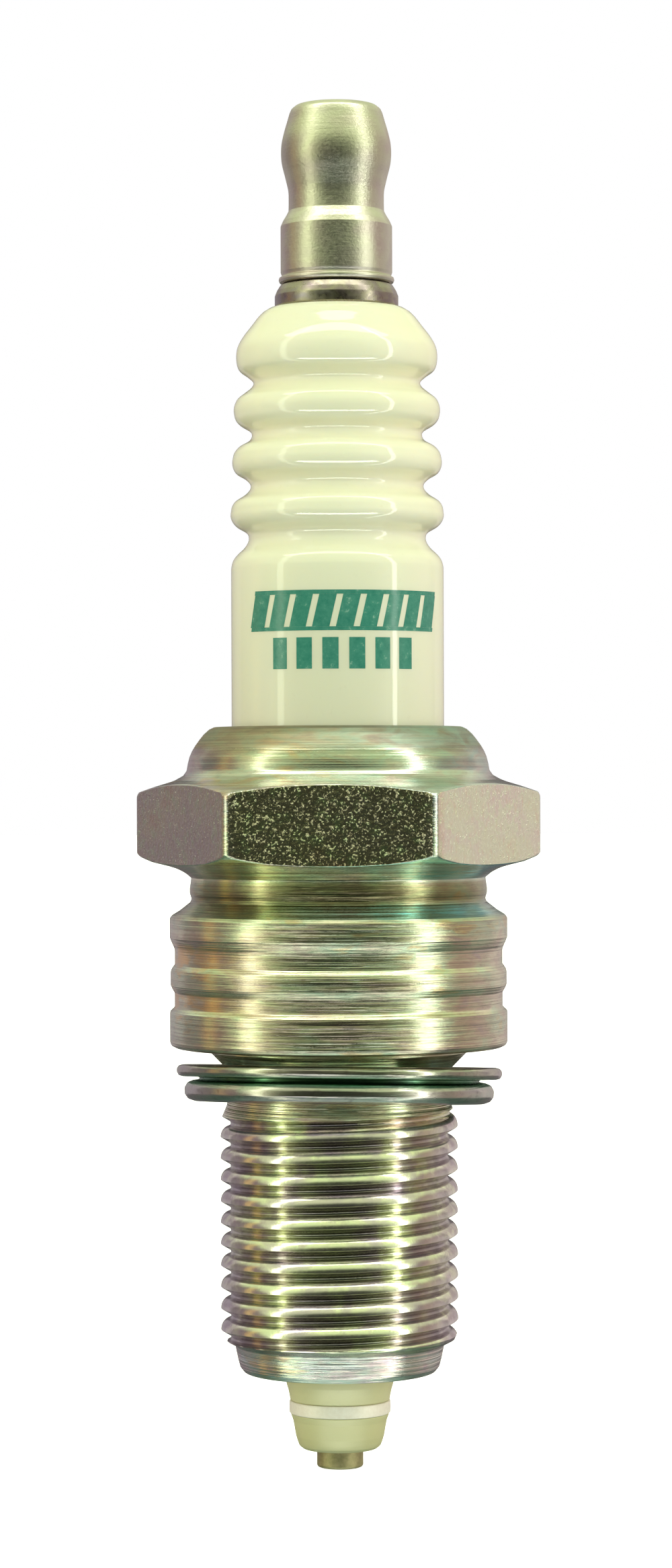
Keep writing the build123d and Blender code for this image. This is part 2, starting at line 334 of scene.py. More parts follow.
skirt = path([(8.62, 13.2), (8.64, 13.0, 0.2), (8.7, 12.6, 0.4), (8.7, 12.3, 0.4), (8.6, 11.98, 0.2),
              (8.68, 11.78, 0.15), (9.29, 11.3, 0.3), (9.75, 11.02, 0.2), (9.88, 10.84, 0.15), (9.88, 9.72, 0.12),
              (9.8, 9.5, 0.1), (9.62, 9.1, 0.3), (9.59, 8.95, 0.2), (9.59, 8.15, 0.1), (9.68, 8.04, 0.05),
              (9.8, 7.85, 0.2), (9.84, 7.68, 0.15), (9.84, 6.95, 0.12), (9.74, 6.72, 0.15), (9.6, 6.48, 0.2),
              (9.6, 5.68, 0.08), (9.7, 5.57, 0.04), (9.86, 5.42, 0.06), (9.88, 5.28, 0.1), (9.88, 3.62, 0.2),
              (9.8, 3.42, 0.16), (9.55, 3.3, 0.16), (7.6, 3.3, 0.12), (7.55, 3.02, 0.1), (6.5, 1.95, 0.3),
              (6.35, 1.7, 0.3), (6.35, 0.80, 0.12), (6.42, 0.60, 0.08), (6.50, 0.42, 0.1), (6.58, -0.12)], 4)
skirt = finer(skirt, 0.14)
upper += [(np.full(len(th), r), np.full(len(th), z)) for r, z in skirt[1:]]
Z_HI, Z_LO = -0.12, -14.15
under = path([(6.12, Z_LO), (5.98, -14.85, 0.3), (5.84, -15.38, 0.25), (5.6, -15.68, 0.15), (4.18, -15.7, 0.12),
              (4.0, -15.5, 0.1), (4.0, -6.0, 0.1), (4.85, -5.5, 0.1), (4.85, 3.5, 0.3), (7.4, 5.2, 0.3),
              (7.4, 21.0, 0.2), (6.95, 21.42)], 4)
under = finer(under, 0.8)
lower = [(np.full(len(th), r), np.full(len(th), z)) for r, z in under]


def blank(z):
    return np.interp(z, [-14.15, -14.1, -13.78, -13.3, -1.15, -0.8, -0.12, 5], [6.12, 6.14, 6.75, 6.95, 6.95, 6.865, 6.58, 6.58])


def shell_fade(groove):
    return np.clip((-0.30 - groove) / 0.55, 0, 1) ** 0.8


THREAD_ROWS = 36
thread = helix_section(th, 6.945, 1.25, -0.08, Z_LO, Z_HI, rolled_profile(6.945, 6.36, 1.25, 0.64, THREAD_ROWS),
                       blank, shell_fade)
shell = threaded("plug_shell", th, upper, lower, thread, Z_LO, Z_HI, THREAD_ROWS)

# ------------------------------------------------------------------- insulator
ribs = [(6.22, 31.1), (6.2, 31.4), (6.08, 31.77), (5.83, 32.09), (5.5, 32.4), (5.28, 32.7), (5.18, 33.03),
        (5.3, 33.35), (5.84, 33.68), (6.12, 33.98), (6.24, 34.3), (6.22, 34.6), (6.16, 34.9), (5.95, 35.2),
        (5.42, 35.55), (5.12, 35.87), (5.08, 36.18), (5.36, 36.5), (5.86, 36.8), (6.07, 37.1), (6.14, 37.44),
        (6.1, 37.76), (6.0, 38.07), (5.7, 38.4), (5.18, 38.7), (4.99, 39.0), (5.08, 39.3), (5.64, 39.65),
        (5.92, 39.96), (6.02, 40.3), (6.04, 40.6), (5.97, 40.9), (5.8, 41.2), (5.42, 41.5), (5.0, 41.85),
        (4.89, 42.17), (5.22, 42.5), (5.64, 42.8), (5.82, 43.1), (5.89, 43.58), (5.85, 44.06), (5.73, 44.4),
        (5.56, 44.7), (5.35, 45.0), (5.11, 45.3), (4.88, 45.6), (4.61, 45.95), (4.3, 46.26)]
outer = (path([(1.41, -5.2), (1.41, -20.12, 0.05), (1.5, -20.2, 0.05), (2.15, -20.2, 0.2), (2.38, -20.02, 0.2),
               (2.47, -19.8, 0.3), (2.58, -19.45, 0.4), (2.64, -19.1, 0.3), (2.74, -18.55, 0.2), (2.88, -18.17, 0.08),
               (2.86, -18.14, 0.02), (2.75, -18.14, 0.02), (2.75, -17.36, 0.02), (2.86, -17.36, 0.02),
               (2.92, -17.3, 0.05), (2.96, -17.05, 0.3), (3.04, -16.7, 0.4), (3.13, -16.4, 0.4), (3.2, -15.7, 0.4),
               (3.55, -6.2, 0.2), (3.75, -5.75, 0.1), (4.62, -5.238, 0.1), (4.7, -5.0, 0.1), (4.7, 3.55, 0.2),
               (5.2, 4.0, 0.2), (6.9, 5.35, 0.3), (7.3, 5.8, 0.3), (7.3, 18.1, 0.2), (7.1, 18.5, 0.2),
               (6.35, 18.52, 0.1), (6.22, 18.75, 0.1), (6.22, 31.1)], 4))
outer = finer(outer, 0.5)
outer = outer[:-1] + curve_through(ribs, 5)
outer += path([(4.3, 46.26), (3.9, 46.5, 0.3), (2.5, 46.5, 0.1), (2.35, 46.3, 0.1), (2.35, -4.4)], 4)[1:]
insulator = lathe("glazed_insulator", outer, 200)

# ------------------------------------------------------------- terminal nut
nut_top = curve_through([(2.79, 53.15), (2.82, 53.45), (2.91, 53.85), (3.02, 54.3), (3.13, 54.72), (3.2, 55.1),
                         (3.23, 55.6), (3.2, 56.1), (3.12, 56.52), (3.0, 56.98), (2.86, 57.45), (2.73, 57.9)], 5)
nut = path([(2.05, 48.2), (2.3, 47.93, 0.06), (3.16, 47.93, 0.05), (3.33, 48.0, 0.06), (3.39, 48.13, 0.08),
            (3.36, 48.27, 0.06), (3.2, 48.37, 0.05), (3.22, 48.46, 0.05), (3.27, 48.6, 0.1), (3.27, 51.28, 0.15),
            (3.13, 51.6, 0.3), (2.93, 51.93, 0.2), (2.8, 52.18, 0.15), (2.79, 52.6), (2.79, 53.15)], 5)
nut = finer(nut, 0.3)[:-1] + nut_top
nut += path([(2.73, 57.9), (2.62, 58.15, 0.3), (2.35, 58.36, 0.3), (2.12, 58.42, 0.12), (2.04, 58.34, 0.04),
             (2.04, 48.25, 0.02)], 4)[1:]
nut_obj = lathe("terminal_nut_body", nut, 168)

# ------------------------------------------------- stud with a helical M4 end
m4_th = np.linspace(0, 2 * PI, 96, endpoint=False)


def m4_blank(z):
    return np.interp(z, [47.0, 57.7, 58.25], [2.0, 2.0, 1.7])


m4 = helix_section(m4_th, 2.0, 0.7, 48.0, 48.3, 58.25, vee_profile(2.0, 1.72, 0.7, 0.06, 0.03, 0.08, 14), m4_blank,
                   lambda g: np.clip((g - 48.3) / 0.3, 0, 1))
stud_up = [(np.full(96, r), np.full(96, z)) for r, z in
           path([(0.0001, 58.5), (0.9, 58.5, 0.4), (1.45, 58.42, 0.2), (1.7, 58.25)], 4)]
stud_dn = path([(2.0, 48.3), (2.0, 47.95, 0.05), (2.4, 47.9, 0.05), (3.14, 47.9, 0.05), (3.3, 47.82, 0.06), (3.5, 47.5, 0.25),
                (3.62, 47.2, 0.2), (3.62, 46.62, 0.08), (3.52, 46.51, 0.06), (2.3, 46.51, 0.04), (2.24, 46.4, 0.03),
                (2.24, 44.0, 0.1), (1.75, 43.6, 0.1), (1.75, 16.2, 0.1), (1.85, 16.0, 0.05), (1.85, 11.9, 0.1),
                (1.5, 11.6, 0.1), (0.0001, 11.6)], 4)
stud_dn = [(np.full(96, r), np.full(96, z)) for r, z in finer(stud_dn, 0.6)]
stud = threaded("terminal_stud_body", m4_th, stud_up, stud_dn, m4, 48.3, 58.25, 14)

# ------------------------------------------------------------ folded washer
tx, ty = math.radians(3.7), math.radians(0.7)
normal = np.array([math.sin(ty), math.sin(tx), math.cos(tx) * math.cos(ty)])
normal /= np.linalg.norm(normal)
side = np.array([math.cos(ty), 0, -math.sin(ty)])
side -= normal * (side @ normal)
side /= np.linalg.norm(side)
back = np.cross(normal, side)


def tilt(v):
    return v[:, :1] * side + v[:, 1:2] * back + v[:, 2:3] * normal


washer_loop = path([(7.25, 0.35), (7.3, 0.1, 0.2), (7.6, 0.005, 0.2), (8.45, 0.005, 0.35), (8.85, 0.14, 0.3),
                    (9.05, 0.42, 0.3), (9.07, 0.78, 0.3), (8.9, 1.1, 0.3), (8.55, 1.24, 0.2), (8.3, 1.27, 0.06),
                    (8.15, 1.34, 0.05), (8.3, 1.42, 0.06), (9.2, 1.44, 0.1), (9.42, 1.5, 0.15), (9.53, 1.7, 0.2),
                    (9.53, 1.92, 0.2), (9.4, 2.09, 0.2), (9.15, 2.14, 0.2), (7.98, 2.14, 0.15), (7.77, 1.98, 0.15),
                    (7.78, 1.66, 0.05), (7.3, 1.56, 0.1), (7.22, 1.4, 0.1), (7.22, 0.4)], 4)
washer = lathe("folded_washer", finer(washer_loop, 0.25), 224, axis_fix=tilt)
# three staked tabs that keep it on the neck
tab_verts, tab_faces = [], []
for turn in (90, 210, 330):
    prof = path([(7.35, 1.23), (6.74, 1.23, 0.05), (6.64, 1.14, 0.04), (6.74, 1.04, 0.04), (7.35, 1.0)], 3)
    steps = np.radians(np.linspace(turn - 0.5, turn - 25.5, 14))
    base = len(tab_verts)
    for w in steps:
        tab_verts += [(r * MM * math.cos(w), r * MM * math.sin(w), z * MM) for r, z in prof]
    k = len(prof)
    for a in range(len(steps) - 1):
        for b in range(k):
            q = [base + a * k + b, base + a * k + (b + 1) % k, base + (a + 1) * k + (b + 1) % k, base + (a + 1) * k + b]
            tab_faces.append(q)
    tab_faces.append([base + b for b in range(k)])
    tab_faces.append([base + (len(steps) - 1) * k + b for b in range(k)])
tabs = make_object("washer_tabs", tilt(np.array(tab_verts)), tab_faces)

# ---------------------------------------------- centre electrode and nose ring
wire = path([(0, -19.4), (0, -21.3), (1.2, -21.3, 0.0), (1.3, -21.26, 0.05), (1.355, -21.17, 0.08), (1.355, -5.22, 0.05),
             (2.24, -4.42, 0.05), (2.24, -2.65, 0.05), (2.1, -2.5, 0.05), (0.86, -2.5), (0.86, -19.0)], 4)
electrode = lathe("centre_electrode_wire", finer(wire, 0.5), 96)
ring = lathe("nose_ring_band", path([(2.755, -18.12), (2.9, -18.12, 0.02), (2.955, -18.07, 0.04), (2.965, -17.75, 0.3),
                                     (2.955, -17.43, 0.04), (2.9, -17.38, 0.02), (2.755, -17.38)], 4), 128)

# ------------------------------------------- printed mark: plain bars, no words
def patch(a0, a1, z0, z1, slant=0.0, base=6.222, thick=0.006, cut=()):
    """A thin closed patch on the insulator between two angles in degrees; slant moves its ends' height."""
    na = max(2, int(abs(a1 - a0) / 1.0))
    nz = 2
    v, f = [], []
    for layer, r in enumerate((base, base + thick)):
        for i in range(na + 1):
            a = a0 + (a1 - a0) * i / na
            w = math.radians(a)
            for k in range(nz + 1):
                z = z0 + (z1 - z0) * k / nz
                shift = slant * (k / nz)
                w2 = w + math.radians(shift)
                v.append((r * MM * math.cos(w2), r * MM * math.sin(w2), z * MM))
    s = (na + 1) * (nz + 1)

    def g(l, i, k):
        return l * s + i * (nz + 1) + k
    for i in range(na):
        for k in range(nz):
            f.append([g(1, i, k), g(1, i + 1, k), g(1, i + 1, k + 1), g(1, i, k + 1)])
            f.append([g(0, i, k), g(0, i, k + 1), g(0, i + 1, k + 1), g(0, i + 1, k)])
    for i in range(na):
        f.append([g(0, i, 0), g(0, i + 1, 0), g(1, i + 1, 0), g(1, i, 0)])
        f.append([g(0, i, nz), g(1, i, nz), g(1, i + 1, nz), g(0, i + 1, nz)])
    for k in range(nz):
        f.append([g(0, 0, k), g(1, 0, k), g(1, 0, k + 1), g(0, 0, k + 1)])
        f.append([g(0, na, k), g(0, na, k + 1), g(1, na, k + 1), g(1, na, k)])
    return v, f


mark_v, mark_f = [], []


def add_mark(*args, **kw):
    v, f = patch(*args, **kw)
    b = len(mark_v)
    mark_v.extend(v)
    mark_f.extend([[q + b for q in face] for face in f])


# a slanted banner with plain diagonal gaps, and a row of plain blocks under it
LEFT, RIGHT, LEAN = 219.0, 333.5, 4.0
add_mark(LEFT + 0.1 * LEAN, RIGHT + 0.1 * LEAN, 27.44, 27.66, slant=0.1 * LEAN)
add_mark(LEFT + 0.9 * LEAN, RIGHT + 0.9 * LEAN, 29.52, 29.76, slant=0.1 * LEAN)
count = 9
step = (RIGHT - LEFT) / count
for k in range(count):
    add_mark(LEFT + k * step + (0 if k == 0 else 1.7), LEFT + (k + 1) * step - (0 if k == count - 1 else 1.7),
             27.662, 29.518, slant=LEAN)
for k in range(6):
    add_mark(236.0 + k * 14.2, 244.6 + k * 14.2, 25.25, 27.05)
mark = make_object("printed_stripes", np.array(mark_v), mark_f, 30)


# -------------------------------------------------------------------- materials
class Nodes:
    def __init__(self, name):
        self.mat = bpy.data.materials.new(name)
        self.mat.use_nodes = True
        self.t = self.mat.node_tree
        self.bsdf = next(n for n in self.t.nodes if n.type == "BSDF_PRINCIPLED")
        tc = self.t.nodes.new("ShaderNodeTexCoord")
        self.co = tc.outputs["Object"]
        sep = self.t.nodes.new("ShaderNodeSeparateXYZ")
        self.link(self.co, sep.inputs[0])
        self.x, self.y, self.z = sep.outputs

    def link(self, a, b):
        self.t.links.new(a, b)

    def put(self, socket, value):
        if isinstance(value, bpy.types.NodeSocket):
            self.link(value, socket)
        else:
            socket.default_value = value

    def math(self, op, *values, clamp=False):
        n = self.t.nodes.new("ShaderNodeMath")
        n.operation = op
        n.use_clamp = clamp
        for s, v in zip(n.inputs, values):
            self.put(s, v)
        return n.outputs[0]

    def vec(self, x, y, z):
        n = self.t.nodes.new("ShaderNodeCombineXYZ")
        for s, v in zip(n.inputs, (x, y, z)):
            self.put(s, v)
        return n.outputs[0]

    def scaled(self, sx, sy, sz):
        """Object position in mm times a scale on each axis."""
        n = self.t.nodes.new("ShaderNodeVectorMath")
        n.operation = "MULTIPLY"
        self.link(self.co, n.inputs[0])
        n.inputs[1].default_value = (sx * 1000, sy * 1000, sz * 1000)
        return n.outputs[0]

    def noise(self, vector, scale=1.0, detail=3.0, rough=0.5, distort=0.0):
        n = self.t.nodes.new("ShaderNodeTexNoise")
        self.link(vector, n.inputs["Vector"])
        n.inputs["Scale"].default_value = scale
        n.inputs["Detail"].default_value = detail
        n.inputs["Roughness"].default_value = rough
        n.inputs["Distortion"].default_value = distort
        return n.outputs["Fac"]

    def voronoi(self, vector, scale=1.0, feature="F1"):
        n = self.t.nodes.new("ShaderNodeTexVoronoi")
        n.feature = feature
        self.link(vector, n.inputs["Vector"])
        n.inputs["Scale"].default_value = scale
        return n.outputs["Distance"], n.outputs["Color"]

    def ramp(self, fac, stops, interp="LINEAR"):
        n = self.t.nodes.new("ShaderNodeValToRGB")
        n.color_ramp.interpolation = interp
        el = n.color_ramp.elements
        while len(el) > len(stops):
            el.remove(el[-1])
        while len(el) < len(stops):
            el.new(1.0)
        for e, (p, c) in zip(el, stops):
            e.position = p
            e.color = (*c, 1) if not isinstance(c, (int, float)) else (c, c, c, 1)
        self.link(fac, n.inputs[0])
        return n.outputs[0]

    def mix(self, fac, a, b, blend="MIX"):
        n = self.t.nodes.new("ShaderNodeMix")
        n.data_type = "RGBA"
        n.blend_type = blend
        self.put(n.inputs[0], fac)
        for s, v in ((n.inputs[6], a), (n.inputs[7], b)):
            if isinstance(v, tuple):
                s.default_value = (*v, 1)
            else:
                self.link(v, s)
        return n.outputs[2]

    def remap(self, v, a, b, c, d):
        n = self.t.nodes.new("ShaderNodeMapRange")
        n.clamp = True
        self.put(n.inputs[0], v)
        for s, w in zip(n.inputs[1:5], (a, b, c, d)):
            s.default_value = w
        return n.outputs[0]

    def bump(self, height, strength, distance, normal=None):
        n = self.t.nodes.new("ShaderNodeBump")
        self.put(n.inputs["Strength"], strength)
        n.inputs["Distance"].default_value = distance
        self.link(height, n.inputs["Height"])
        if normal is not None:
            self.link(normal, n.inputs["Normal"])
        return n.outputs[0]

    def set(self, **kw):
        for key, value in kw.items():
            name = key.replace("_", " ")
            s = self.bsdf.inputs[name]
            if isinstance(value, tuple) and len(value) == 3:
                value = (*value, 1)
            self.put(s, value)
        return self

    def radial(self):
        n = self.t.nodes.new("ShaderNodeTangent")
        n.direction_type = "RADIAL"
        n.axis = "Z"
        self.link(n.outputs[0], self.bsdf.inputs["Tangent"])


def passivated_zinc():
    m = Nodes("passivated_zinc_steel")
    height = m.math("MULTIPLY", m.z, 1000.0)
    coarse = m.noise(m.scaled(0.022, 0.022, 6.4), 1.0, 3, 0.6)
    mid = m.noise(m.scaled(0.05, 0.05, 11.0), 1.0, 3, 0.65)
    lines = m.noise(m.scaled(0.16, 0.16, 12.0), 1.0, 3, 0.6)
    fine = m.noise(m.scaled(6, 6, 9), 1.0, 3, 0.6)
    slow = m.noise(m.scaled(0.16, 0.16, 0.5), 1.0, 2, 0.5, 0.4)
    patch_ = m.noise(m.scaled(0.5, 0.5, 1.6), 1.0, 3, 0.55, 0.6)
    film = m.math("ADD", m.math("MULTIPLY", slow, 0.6), m.math("MULTIPLY", patch_, 0.4))
    # the chromate film's colours run from mauve through straw to green
    colour = m.ramp(film, [(0.30, (0.58, 0.47, 0.52)), (0.41, (0.72, 0.60, 0.50)), (0.49, (0.76, 0.74, 0.56)),
                           (0.56, (0.66, 0.76, 0.58)), (0.63, (0.78, 0.64, 0.38)), (0.73, (0.60, 0.50, 0.60))])
    grime = m.noise(m.scaled(1.2, 1.2, 5.0), 1.0, 4, 0.65)
    colour = m.mix(m.remap(grime, 0.52, 0.75, 0.0, 0.5), colour, (0.40, 0.33, 0.31))
    colour = m.mix(m.remap(mid, 0.46, 0.66, 0.0, 0.55), colour, (0.42, 0.38, 0.33))
    colour = m.mix(m.remap(mid, 0.46, 0.34, 0.0, 0.45), colour, (0.90, 0.90, 0.76))
    # colour by height, mostly painted light: the pilot and the plateau under the washer are lightened as painted
    # highlights, the neck under the hexagon is darkened as painted shade, the flare under the hexagon is lightened and
    # tinted teal as a painted reflection, the top of the hexagon is tinted mauve, and the lip is darker and dull
    height_tint_and_painted_light = m.ramp(m.remap(height, -16.0, 23.0, 0.0, 1.0), [
        (0.0, (1.34, 1.34, 1.55)), (0.047, (1.34, 1.34, 1.55)), (0.055, (0.95, 0.95, 0.95)), (0.375, (0.98, 1.0, 0.93)), (0.387, (1.35, 1.35, 1.22)),
        (0.42, (1.35, 1.35, 1.22)), (0.43, (0.98, 1.0, 0.93)), (0.48, (0.86, 1.0, 0.90)), (0.50, (1.0, 1.0, 0.95)),
        (0.685, (1.0, 1.0, 0.95)), (0.70, (0.62, 0.59, 0.42)), (0.722, (0.38, 0.37, 0.25)), (0.740, (0.58, 0.60, 0.44)), (0.750, (1.15, 1.15, 1.0)), (0.765, (1.15, 1.20, 1.15)),
        (0.80, (1.0, 1.0, 0.95)), (0.87, (0.80, 0.71, 0.92)), (0.90, (0.84, 0.77, 0.86)), (0.930, (0.85, 0.82, 0.76)), (0.943, (0.46, 0.38, 0.32)), (0.968, (0.37, 0.31, 0.24)), (1.0, (0.34, 0.29, 0.21))])
    colour = m.mix(1.0, colour, height_tint_and_painted_light, "MULTIPLY")
    # painted reflection: a teal tint on the edges above and below the neck, strongest on the right side
    side = m.remap(m.math("MULTIPLY", m.x, 1000.0), -3.0, 5.5, 0.15, 1.0)
    edge = m.ramp(m.remap(height, 10.9, 14.6, 0.0, 1.0), [(0.0, 0.0), (0.08, 0.9), (0.16, 0.7), (0.3, 0.0), (0.56, 0.0),
                                                         (0.66, 0.8), (0.85, 1.0), (0.97, 0.3)])
    colour = m.mix(m.math("MULTIPLY", m.math("MULTIPLY", side, edge), m.remap(patch_, 0.35, 0.6, 0.4, 0.95)), colour, (0.40, 0.78, 0.80))
    # painted reflection: an orange tint in the grooves on the left, shaded side, where they mirror the orange band of
    # the surrounding light
    amber = m.math("MULTIPLY", m.remap(m.math("MULTIPLY", m.x, 1000.0), -9.0, -4.0, 1.0, 0.0), m.remap(patch_, 0.38, 0.54, 0.15, 1.0))
    groove = m.ramp(m.remap(height, 5.0, 10.0, 0.0, 1.0), [(0.1, 0.0), (0.14, 1.0), (0.30, 1.0), (0.34, 0.1), (0.6, 0.1), (0.64, 1.0),
                                                          (0.86, 1.0), (0.9, 0.0)])
    colour = m.mix(m.math("MULTIPLY", amber, groove), colour, (0.86, 0.60, 0.30))
    turned = m.ramp(m.remap(height, -16.0, 23.0, 0.0, 1.0), [(0.0, 1.0), (0.87, 1.0), (0.905, 0.45), (1.0, 0.3)])
    dull = m.remap(height, 20.6, 20.9, 0.0, 0.26)
    neck = m.math("MULTIPLY", m.remap(height, 11.4, 11.9, 0.0, 1.0), m.remap(height, 13.2, 13.7, -0.03, 0.0))
    rough = m.remap(m.math("ADD", m.math("MULTIPLY", lines, 0.5), m.math("MULTIPLY", fine, 0.5)), 0.3, 0.7, 0.13, 0.25)
    rough = m.math("ADD", rough, m.math("ADD", dull, neck))
    n1 = m.bump(mid, turned, 0.000018, m.bump(coarse, turned, 0.00006))
    n2 = m.bump(lines, m.math("MULTIPLY", turned, 0.8), 0.000014, n1)
    n3 = m.bump(fine, 0.35, 0.000009, n2)
    m.set(Base_Color=colour, Metallic=1.0, Roughness=rough, Normal=n3, Anisotropic=0.3)
    m.radial()
    return m.mat


def rolled_thread():
    m = Nodes("rolled_thread_zinc")
    around = m.math("ARCTAN2", m.y, m.x)
    smear = m.noise(m.vec(m.math("MULTIPLY", around, 9.0), m.math("MULTIPLY", m.z, 1500.0), 0.0), 1.0, 3, 0.6)
    grain = m.noise(m.scaled(7, 7, 7), 1.0, 3, 0.65)
    slow = m.noise(m.scaled(0.3, 0.3, 0.5), 1.0, 3, 0.55, 0.5)
    colour = m.ramp(slow, [(0.32, (0.62, 0.54, 0.60)), (0.45, (0.76, 0.70, 0.64)), (0.53, (0.92, 0.94, 0.68)),
                           (0.62, (0.88, 0.93, 0.68)), (0.72, (0.70, 0.58, 0.56))])
    colour = m.mix(m.remap(smear, 0.55, 0.75, 0.0, 0.45), colour, (0.50, 0.42, 0.44))
    # painted shade: darker mauve-grey blotches towards the left and right limbs
    blotch = m.noise(m.scaled(0.9, 0.9, 1.4), 1.0, 3, 0.6, 0.5)
    away = m.remap(m.math("ABSOLUTE", m.x), 0.0042, 0.0062, 0.0, 1.0)
    colour = m.mix(m.math("MULTIPLY", away, m.remap(blotch, 0.40, 0.56, 0.15, 0.75)), colour, (0.46, 0.38, 0.40))
    radius = m.math("MULTIPLY", m.math("SQRT", m.math("ADD", m.math("MULTIPLY", m.x, m.x), m.math("MULTIPLY", m.y, m.y))), 1000.0)
    # the roots are darkened by grime and painted shade, the downward-facing flanks by painted shade, most at the front;
    # the crests are lightened as a painted highlight
    geo = m.t.nodes.new("ShaderNodeNewGeometry")
    part = m.t.nodes.new("ShaderNodeSeparateXYZ")
    m.link(geo.outputs["Normal"], part.inputs[0])
    front = m.remap(m.y, -0.0066, -0.0050, 0.62, 0.26)
    dirt_and_shade = m.math("MAXIMUM", m.remap(radius, 6.48, 6.72, 1.0, 0.0), m.remap(part.outputs[2], -0.62, -0.48, 0.9, 0.0))
    colour = m.mix(m.math("MULTIPLY", dirt_and_shade, front), colour, (0.10, 0.09, 0.085))
    colour = m.mix(m.remap(radius, 6.90, 6.94, 0.0, 0.4), colour, (0.88, 0.88, 0.82))
    rough = m.remap(m.math("ADD", m.math("MULTIPLY", smear, 0.4), m.math("MULTIPLY", grain, 0.6)), 0.3, 0.7, 0.13, 0.24)
    n1 = m.bump(smear, 0.5, 0.000008)
    m.set(Base_Color=colour, Metallic=1.0, Roughness=rough, Normal=m.bump(grain, 0.4, 0.000007, n1), Anisotropic=0.65,
          Anisotropic_Rotation=0.25)
    m.radial()
    return m.mat


def hex_faces():
    m = Nodes("passivated_zinc_pitted_faces")
    grain = m.noise(m.scaled(6.5, 6.5, 6.5), 1.0, 3, 0.7)
    cells, _ = m.voronoi(m.scaled(4.2, 4.2, 4.2), 1.0)
    drag = m.noise(m.scaled(3.2, 3.2, 1.4), 1.0, 4, 0.6)
    slow = m.noise(m.scaled(0.22, 0.22, 0.3), 1.0, 3, 0.5, 0.5)
    tint = m.noise(m.scaled(1.6, 1.6, 1.6), 1.0, 3, 0.6)
    colour = m.ramp(slow, [(0.34, (0.61, 0.55, 0.48)), (0.48, (0.64, 0.58, 0.48)), (0.6, (0.66, 0.62, 0.47)),
                           (0.7, (0.65, 0.53, 0.42))])
    colour = m.mix(m.remap(tint, 0.5, 0.68, 0.0, 0.6), colour, (0.60, 0.74, 0.48))
    colour = m.mix(m.remap(drag, 0.52, 0.72, 0.0, 0.3), colour, (0.50, 0.38, 0.31))
    rough = m.remap(grain, 0.3, 0.7, 0.15, 0.26)
    away = m.remap(m.math("ABSOLUTE", m.math("MULTIPLY", m.x, 1000.0)), 5.5, 6.5, 0.0, 0.14)
    rough = m.math("ADD", rough, away)
    # painted light: the left faces are tinted mauve as a painted reflection, and the right faces are made about 1.7
    # times lighter as a painted highlight
    turn = m.remap(m.math("MULTIPLY", m.x, 1000.0), -6.5, 6.5, 0.0, 1.0)
    colour = m.mix(1.0, colour, m.ramp(turn, [(0.0, (0.80, 0.76, 0.89)), (0.1, (0.85, 0.87, 0.72)), (0.9, (0.85, 0.87, 0.72)),
                                              (1.0, (1.72, 1.64, 1.70))]), "MULTIPLY")
    pits = m.ramp(m.noise(m.scaled(7.5, 7.5, 7.5), 1.0, 2, 0.6), [(0.605, 0.0), (0.68, 0.5), (0.78, 1.0)])
    n1 = m.bump(pits, 1.0, 0.000045)
    n2 = m.bump(cells, 0.8, 0.000032, m.bump(grain, 0.8, 0.000028, n1))
    m.set(Base_Color=colour, Metallic=1.0, Roughness=rough, Normal=n2)
    return m.mat


def washer_metal():
    m = Nodes("washer_strip_steel")
    lines = m.noise(m.scaled(0.12, 0.12, 4.5), 1.0, 3, 0.6)
    slow = m.noise(m.scaled(0.25, 0.25, 0.8), 1.0, 3, 0.5, 0.3)
    # height above the washer's own tilted plane, in mm
    own = m.math("ADD", m.math("ADD", m.math("MULTIPLY", m.x, 1000.0 * float(normal[0])), m.math("MULTIPLY", m.y, 1000.0 * float(normal[1]))),
                 m.math("MULTIPLY", m.z, 1000.0 * float(normal[2])))
    colour = m.ramp(slow, [(0.35, (0.66, 0.60, 0.60)), (0.5, (0.74, 0.72, 0.62)), (0.62, (0.66, 0.72, 0.60)),
                           (0.72, (0.72, 0.66, 0.62))])
    grime = m.noise(m.scaled(2.2, 2.2, 3.5), 1.0, 4, 0.6)
    colour = m.mix(m.remap(grime, 0.52, 0.75, 0.0, 0.5), colour, (0.38, 0.33, 0.32))
    # painted light by height: the groove between the two folds is darkened as painted shade, and its rims are tinted
    # pale teal as a painted reflection
    colour = m.mix(1.0, colour, m.ramp(m.remap(own, 0.0, 2.2, 0.0, 1.0), [
        (0.0, (0.70, 0.68, 0.72)), (0.40, (0.76, 0.76, 0.78)), (0.53, (0.62, 0.85, 0.76)), (0.58, (0.36, 0.56, 0.48)),
        (0.64, (0.36, 0.56, 0.48)), (0.67, (0.6, 0.82, 0.72)), (0.72, (0.70, 0.70, 0.68)), (1.0, (0.66, 0.64, 0.62))]), "MULTIPLY")
    m.set(Base_Color=colour, Metallic=1.0, Roughness=m.remap(lines, 0.3, 0.7, 0.14, 0.28),
          Normal=m.bump(lines, 1.0, 0.00003), Anisotropic=0.2)
    m.radial()
    return m.mat


